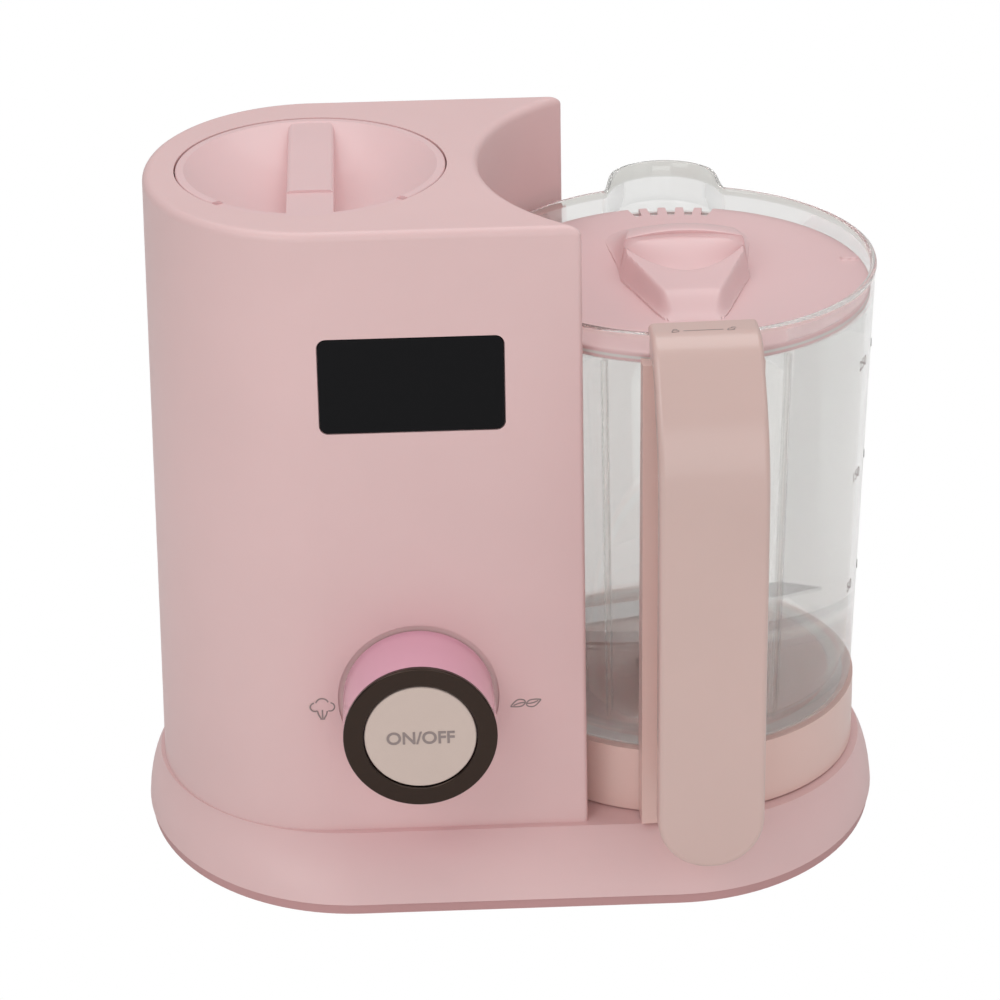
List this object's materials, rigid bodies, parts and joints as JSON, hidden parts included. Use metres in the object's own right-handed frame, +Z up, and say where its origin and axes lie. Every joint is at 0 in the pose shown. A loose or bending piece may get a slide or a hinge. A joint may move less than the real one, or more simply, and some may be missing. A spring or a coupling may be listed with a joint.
{
  "type": "baby food maker",
  "caption": "Countertop steamer and blender for baby food: tower with water tank, display and control knob, beside a lift-off clear jug with lid, handle and blade.",
  "frame": {"origin": "on the table, under the middle of the base, where the rubber feet stand", "axes": "+X towards the jug side, +Y towards the back, +Z up; the control face looks along -Y"},
  "size_m": [0.273, 0.199, 0.254],
  "materials": {
    "body_pink": "soft satin",
    "base_rose": "satin",
    "handle_beige": "semi-gloss",
    "feet_rubber": "matt",
    "screw_steel": "brushed",
    "blade_steel": "ground",
    "shaft_steel": "turned",
    "inner_white": "matt",
    "heater_alu": "cast",
    "silicone": "matt silicone",
    "motor_case": "zinc",
    "black_plastic": "matt",
    "bronze_bush": "sintered",
    "belt_rubber": "matt",
    "display_black": "gloss",
    "board_green": "solder mask",
    "knob_magenta": "gloss",
    "ring_bronze": "dark bronze plating",
    "cap_beige": "satin",
    "jug_clear": "clear moulded copolyester"
  },
  "bodies": {
    "base": {"main_housing": "body_pink", "base_plate": "base_rose", "rubber_feet": "feet_rubber", "base_screws": "screw_steel", "tank_rim_ring": "inner_white", "water_tank": "inner_white", "heater_plate": "heater_alu", "heater_element": "heater_alu", "thermostat": "black_plastic", "boiler_bracket": "screw_steel", "steam_hose": "silicone", "hose_clamps": "screw_steel", "steam_nozzle": "inner_white", "nozzle_seal": "silicone", "motor_can": "motor_case", "motor_mount": "screw_steel", "motor_screws": "screw_steel", "drive_belt": "belt_rubber", "bearing_block": "inner_white", "spindle_bushes": "bronze_bush", "display_lens": "display_black", "lcd_module": "black_plastic", "control_board": "board_green", "board_screws": "screw_steel", "power_board": "board_green", "encoder": "black_plastic", "cord_gland": "black_plastic", "interlock_switch": "black_plastic"},
    "motor_rotor": {"motor_shaft": "shaft_steel", "motor_pulley": "black_plastic"},
    "drive": {"drive_pulley": "black_plastic", "drive_spindle": "shaft_steel", "drive_dog": "black_plastic"},
    "knob": {"knob_body": "knob_magenta", "knob_ring": "ring_bronze", "button_spring": "screw_steel"},
    "button": {"on_off_button": "cap_beige"},
    "interlock": {"interlock_pin": "base_rose"},
    "jug": {"jug_vessel": "jug_clear", "jug_collar": "handle_beige", "collar_gasket": "silicone", "blade_bush": "black_plastic", "blade_nut": "inner_white", "shaft_seal": "silicone", "handle_grip": "handle_beige", "handle_spine": "handle_beige", "handle_screws": "screw_steel"},
    "blade_unit": {"blade_shaft": "shaft_steel", "blade_hub": "blade_steel", "blades": "blade_steel", "jug_dog": "black_plastic"},
    "lid_carrier": {"jug_lid_seal": "silicone"},
    "jug_lid": {"jug_lid": "body_pink"},
    "tank_lid_carrier": {"tank_lid_seal": "silicone"},
    "tank_lid": {"tank_lid": "body_pink"}
  },
  "joints": [
    {"name": "jug_lift", "type": "slide", "parent": "base", "child": "jug", "axis": [0, 0, 1], "range_m": [0, 0.24]},
    {"name": "jug_lid_lift", "type": "slide", "parent": "jug", "child": "lid_carrier", "axis": [0, 0, 1], "range_m": [0, 0.06]},
    {"name": "jug_lid_turn", "type": "hinge", "parent": "lid_carrier", "child": "jug_lid", "pos_m": [0.063, 0, 0.12], "axis": [0, 0, 1], "range_deg": [0, 30]},
    {"name": "tank_lid_lift", "type": "slide", "parent": "base", "child": "tank_lid_carrier", "axis": [0, 0, 1], "range_m": [0, 0.06]},
    {"name": "tank_lid_turn", "type": "hinge", "parent": "tank_lid_carrier", "child": "tank_lid", "pos_m": [-0.067, 0, 0.25], "axis": [0, 0, 1], "range_deg": [0, 45]},
    {"name": "knob_turn", "type": "hinge", "parent": "base", "child": "knob", "pos_m": [-0.0346, -0.06819, 0.0771], "axis": [0, -0.9999, 0.0146], "range_deg": [-45, 45]},
    {"name": "button_press", "type": "slide", "parent": "knob", "child": "button", "axis": [0, 0.9999, -0.0146], "range_m": [0, 0.002], "stiffness_N_per_m": 600, "springref_m": -0.002},
    {"name": "interlock_press", "type": "slide", "parent": "base", "child": "interlock", "axis": [0, 0, 1], "range_m": [-0.003, 0], "stiffness_N_per_m": 400, "springref_m": 0.002},
    {"name": "drive_spin", "type": "hinge", "parent": "base", "child": "drive", "pos_m": [0.063, 0, 0.02], "axis": [0, 0, 1], "continuous": true},
    {"name": "blade_spin", "type": "hinge", "parent": "jug", "child": "blade_unit", "pos_m": [0.063, 0, 0.06], "axis": [0, 0, 1], "continuous": true},
    {"name": "motor_spin", "type": "hinge", "parent": "base", "child": "motor_rotor", "pos_m": [-0.074, 0.014, 0.06], "axis": [0, 0, 1], "continuous": true}
  ],
  "couplings": [
    {"joint": "blade_spin", "follows": "drive_spin", "ratio": 1},
    {"joint": "motor_spin", "follows": "drive_spin", "ratio": 2.8}
  ]
}
